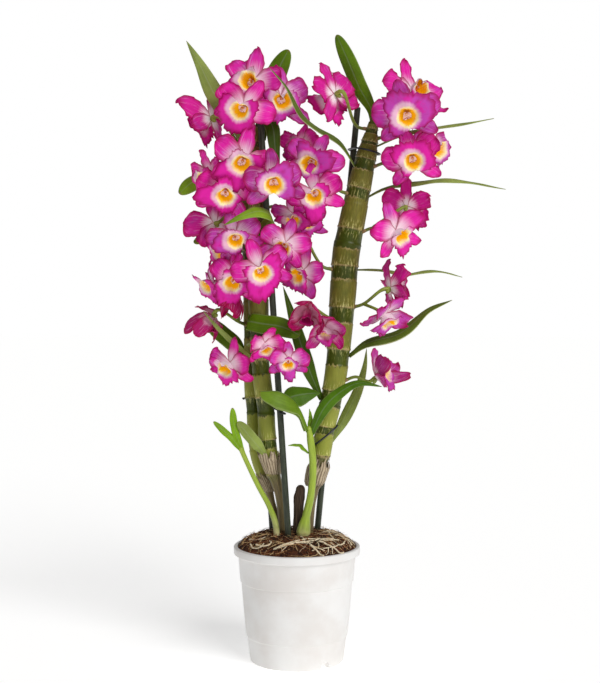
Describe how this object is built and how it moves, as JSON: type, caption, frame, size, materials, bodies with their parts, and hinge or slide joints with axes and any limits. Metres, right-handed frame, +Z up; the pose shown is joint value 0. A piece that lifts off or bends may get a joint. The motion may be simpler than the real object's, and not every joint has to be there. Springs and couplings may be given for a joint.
{
  "type": "potted dendrobium orchid",
  "caption": "Flowering orchid with tall jointed canes, strap leaves and magenta blooms, tied to stakes in a white round pot filled with coir.",
  "frame": {"origin": "centre of the pot's flat underside", "axes": "+Z up along the pot's axis; +X to the right and +Y to the back as seen from the front"},
  "size_m": [0.3111, 0.1297, 0.5981],
  "materials": {
    "pot": "satin white moulded plastic",
    "coir": "rough dark brown fibre",
    "roots": "dull pale",
    "stake": "dull dark green",
    "tie": "dull black",
    "cane": "satin, streaked",
    "stub": "rough, dry",
    "shoot": "satin",
    "leaf": "satin, finely veined",
    "bloom": "soft, satin"
  },
  "bodies": {
    "root": {"pot": "pot", "substrate": "coir", "surface_roots": "roots", "stake_middle": "stake", "stake_right": "stake", "stake_left": "stake", "cane_left": "cane", "cane_middle": "cane", "cane_right": "cane", "cane_old": "stub", "tie_left": "tie", "tie_right_low": "tie", "tie_right_top": "tie", "shoot_right": "shoot", "shoot_left": "shoot", "leaf_tip_left": "leaf", "leaf_tip_middle": "leaf", "leaf_arch": "leaf", "leaf_tip_right": "leaf", "leaf_short_right": "leaf", "leaf_upper_right": "leaf", "leaf_middle_right": "leaf", "leaf_lower_right": "leaf", "leaf_broad_right": "leaf", "leaf_grey_right": "leaf", "leaf_dark_inner": "leaf", "leaf_fold_middle": "leaf", "leaf_over_middle": "leaf", "leaf_round_left": "leaf", "leaf_side_left": "leaf", "leaf_strap_middle": "leaf", "leaf_low_left": "leaf", "leaf_low_left_dark": "leaf", "leaf_grey_left": "leaf", "spray_left_top": "bloom", "spray_left_2": "bloom", "spray_left_3": "bloom", "spray_left_4": "bloom", "spray_left_5": "bloom", "spray_left_6": "bloom", "spray_left_7": "bloom", "spray_middle_top": "bloom", "spray_middle_2": "bloom", "spray_middle_3": "bloom", "spray_middle_4": "bloom", "spray_middle_5": "bloom", "spray_middle_6": "bloom", "spray_middle_7": "bloom", "spray_right_top": "bloom", "spray_right_2": "bloom", "spray_right_3": "bloom", "spray_right_inner": "bloom", "spray_right_4": "bloom", "spray_right_inner_2": "bloom", "spray_right_5": "bloom", "spray_right_inner_3": "bloom", "spray_right_6": "bloom"}
  },
  "joints": []
}
